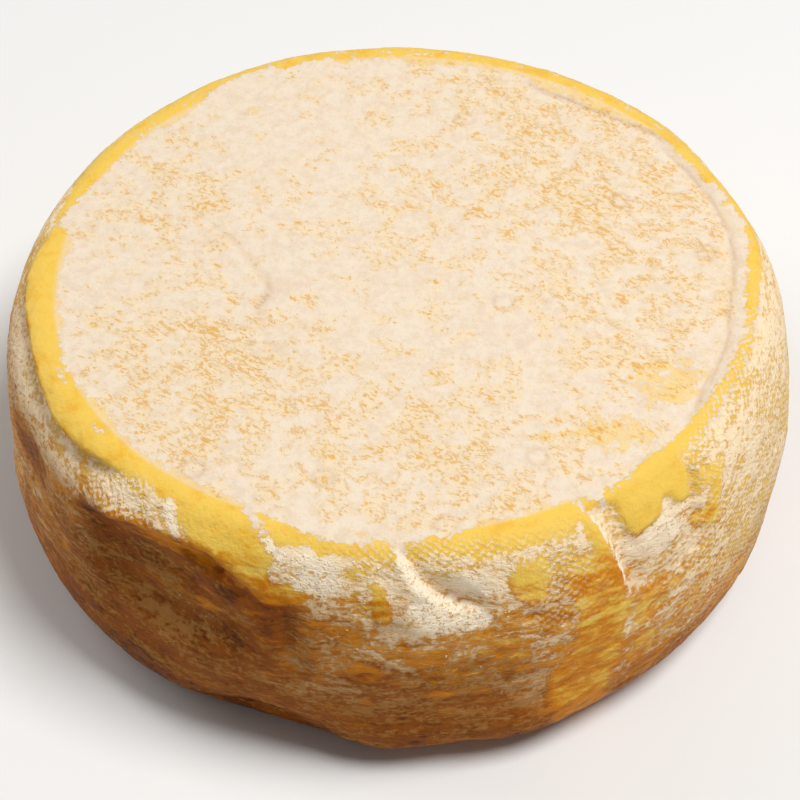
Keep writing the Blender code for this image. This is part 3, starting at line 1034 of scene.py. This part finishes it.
# Runs a tree on an object and gives back what it makes as a plain mesh
def runTree(wheel, tree, values):
    modifier = wheel.modifiers.new(tree.name, "NODES")
    modifier.node_group = tree
    for item in tree.interface.items_tree:
        if item.in_out == "INPUT" and item.name in values:
            modifier[item.identifier] = values[item.name]
    made = bpy.data.meshes.new_from_object(wheel.evaluated_get(bpy.context.evaluated_depsgraph_get()))
    wheel.modifiers.remove(modifier)
    return made


rindRelief = {
    "Wrinkle Size": 3.4, "Wrinkle Height": 0.34, "Pit Size": 1.7, "Pit Depth": 0.3, "Base Height": 4.0,
}


# Wrinkles and pits of the rind, in millimetres, none at the flat base
def reliefTree():
    tree, given, result = newTree(
        "rind relief", "GeometryNodeTree",
        {"Geometry": "Geometry", "Millimetre": "Float", **dict.fromkeys(rindRelief, "Float"),
         "Material": "Material"},
        {"Geometry": "Geometry"})
    place = scaled(read(tree, "GeometryNodeInputPosition"), 1.0 / given["Millimetre"])
    height = read(tree, "ShaderNodeSeparateXYZ", {0: place}, 2)
    wrinkles = speckle(place, given["Wrinkle Size"], 2.0, 0.55, 0.8)
    pits = rampStep(speckle(place, given["Pit Size"], 1.0), 0.56, 0.74)
    rough = rampStep(shareOf(tree, "top"), 0.0, 1.0, 1.0, 0.55)  # the top is smoother
    rise = about(wrinkles, given["Wrinkle Height"]) - pits * given["Pit Depth"]
    rise = rise * rough * rampStep(height, 0.2, given["Base Height"])
    shaped = alongNormal(given["Geometry"], rise * given["Millimetre"])
    shaped = read(tree, "GeometryNodeRealizeInstances", {"Geometry": shaped})
    setMaterial(shaped, given["Material"]).feed(result["Geometry"])
    return tree


crumbSizes = {"Smallest": 0.07, "Largest": 0.2, "Flatness": 0.28}
crumbLook = {
    "perSquareCm": 230.0, "seed": 7, "longest": 2.2, "lumpsPerMm": 2.6, "lumps": 0.3,
    "white": (246, 226, 196), "tan": (222, 186, 130), "brown": (146, 96, 46), "roughness": 0.95,
    "gloss": 0.12,
}


# Crumbs of dried bloom, thickest where the crumbs share says
def crumbTree():
    tree, given, result = newTree(
        "bloom crumbs", "GeometryNodeTree",
        {"Geometry": "Geometry", "Millimetre": "Float", "Per Square Metre": "Float",
         **dict.fromkeys(crumbSizes, "Float"), "Seed": "Int", "Material": "Material"},
        {"Geometry": "Geometry"})
    spread = addNode(tree, "GeometryNodeDistributePointsOnFaces", {
        "Mesh": given["Geometry"], "Density": shareOf(tree, "crumbs") * given["Per Square Metre"],
        "Seed": given["Seed"]}).outputs

    def chance(low, high, seed):
        values = {"Min": low, "Max": high, "Seed": seed}
        return read(tree, "FunctionNodeRandomValue", values, 1, data_type="FLOAT")

    turn = chance(0.0, 2 * math.pi, given["Seed"])
    spin = read(tree, "FunctionNodeAxisAngleToRotation", {"Angle": turn})
    turned = read(tree, "FunctionNodeRotateRotation", {0: Reading(spread["Rotation"]), 1: spin},
                  rotation_space="LOCAL")
    wide = chance(given["Smallest"], given["Largest"], given["Seed"] + 1)
    longer = chance(1.0, crumbLook["longest"], given["Seed"] + 2)
    size = read(tree, "ShaderNodeCombineXYZ", {
        "X": wide * longer, "Y": wide, "Z": wide * given["Flatness"]})
    bead = read(tree, "GeometryNodeMeshIcoSphere", {"Radius": 1.0, "Subdivisions": 1})
    crumbs = read(tree, "GeometryNodeInstanceOnPoints", {
        "Points": Reading(spread["Points"]), "Instance": bead, "Rotation": turned,
        "Scale": scaled(size, given["Millimetre"])})
    crumbs = read(tree, "GeometryNodeRealizeInstances", {"Geometry": crumbs})
    uneven = read(tree, "ShaderNodeTexNoise", {
        "Vector": read(tree, "GeometryNodeInputPosition"),
        "Scale": crumbLook["lumpsPerMm"] / given["Millimetre"], "Detail": 1.0})
    crumbs = alongNormal(crumbs, about(uneven, crumbLook["lumps"]) * given["Millimetre"])
    crumbs = read(tree, "GeometryNodeSetShadeSmooth", {"Geometry": crumbs})
    setMaterial(crumbs, given["Material"]).feed(result["Geometry"])
    return tree


def crumbMaterial():
    look = paints(crumbLook)
    material, shader, place = newMaterial("dried bloom")
    greyAndShade, ageAndShade = (shareIn(material.node_tree, name) for name in ("greyAndShade", "ageAndShade"))
    # Crumbs go tan and brown with greyed and aged bloom, which carries painted shade on the scoop and lower
    # walls
    dustAndShade = higher(greyAndShade, ageAndShade * 1.2) + about(speckle(place, 1.2, 3.0, 0.6), 1.2)
    shade = blend(rampStep(dustAndShade, 0.1, 0.6), look["white"], look["tan"])
    blend(rampStep(dustAndShade, 0.5, 1.1), shade, look["brown"]).feed(shader.inputs["Base Color"])
    shader.inputs["Roughness"].default_value = look["roughness"]
    shader.inputs["Specular IOR Level"].default_value = look["gloss"]
    grain = {"Height": speckle(place, 0.2), "Distance": 0.1 * mm, "Strength": 0.8}
    read(material.node_tree, "ShaderNodeBump", grain).feed(shader.inputs["Normal"])
    return material


def layCrumbs(wheel):
    values = {"Millimetre": mm, "Per Square Metre": crumbLook["perSquareCm"] * 1e4, **crumbSizes,
              "Seed": crumbLook["seed"], "Material": crumbMaterial()}
    return placeObject("bloomCrumbs", runTree(wheel, crumbTree(), values))


rind = formWheel()
values = {**rindRelief, "Millimetre": mm, "Material": rindMaterial()}
rind.data = runTree(rind, reliefTree(), values)
print("rind made:", len(rind.data.polygons), "faces")
crumbs = layCrumbs(rind)
print("bloom crumbs laid:", len(crumbs.data.polygons), "faces")
for piece in (crumbs, rind):
    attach(piece, "root")
    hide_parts("cheese_wheel")


# Floor, light and camera
studio = {
    "floorColour": (0.83, 0.82, 0.80, 1.0),
    "floorHalf": 1.6,
    "keyEnergy": 9.1,
    "keyPlace": (0.38, -0.1, 0.92),
    "keySize": 0.45,
    "fillEnergy": 2.9,
    "fillPlace": (-0.68, 0.36, 0.5),
    "fillSize": 0.7,
    "lightTarget": (0, 0, 0.03),
    "world": 0.17,
    "cameraDistance": 0.35,
    "cameraElevation": 48.0,
    "cameraTarget": (0.0, 0.0, 0.0137),
    "lens": 85.2,
}


def makeFloor():
    half = studio["floorHalf"]
    low = wheelLow[2]
    mesh = bpy.data.meshes.new("floor")
    corners = [(-half, -half, low), (half, -half, low), (half, half, low), (-half, half, low)]
    mesh.from_pydata(corners, [], [(0, 1, 2, 3)])
    floor = placeObject("floor", mesh)
    material = bpy.data.materials.new("pale floor")
    material.use_nodes = True
    shader = material.node_tree.nodes["Principled BSDF"]
    shader.inputs["Base Color"].default_value = studio["floorColour"]
    shader.inputs["Roughness"].default_value = 0.9
    mesh.materials.append(material)


def addLight(name, place, size, energy):
    lamp = bpy.data.lights.new(name, "AREA")
    lamp.shape = "DISK"
    lamp.size = size
    lamp.energy = energy
    light = placeObject(name, lamp)
    light.location = place
    aim = Vector(studio["lightTarget"]) - Vector(place)
    light.rotation_euler = aim.to_track_quat("-Z", "Y").to_euler()


def makeStudio():
    makeFloor()
    for name in ("key", "fill"):
        addLight(name + " light", studio[name + "Place"], studio[name + "Size"], studio[name + "Energy"])
    world = bpy.data.worlds.new("studio")
    world.use_nodes = True
    sky = world.node_tree.nodes["Background"].inputs
    sky["Strength"].default_value = studio["world"]
    sky["Color"].default_value = (1.0, 1.0, 1.0, 1.0)
    bpy.context.scene.world = world
    bpy.context.scene.view_settings.view_transform = "Standard"
    data = bpy.data.cameras.new("camera")
    data.lens = studio["lens"]
    data.sensor_width = 36.0
    camera = placeObject("camera", data)
    up = math.radians(studio["cameraElevation"])
    away = studio["cameraDistance"]
    target = studio["cameraTarget"]
    camera.location = (target[0], target[1] - away * math.cos(up), target[2] + away * math.sin(up))
    camera.rotation_euler = (math.pi / 2 - up, 0, 0)
    data.clip_start = 0.01
    bpy.context.scene.camera = camera


makeStudio()
print("studio set")
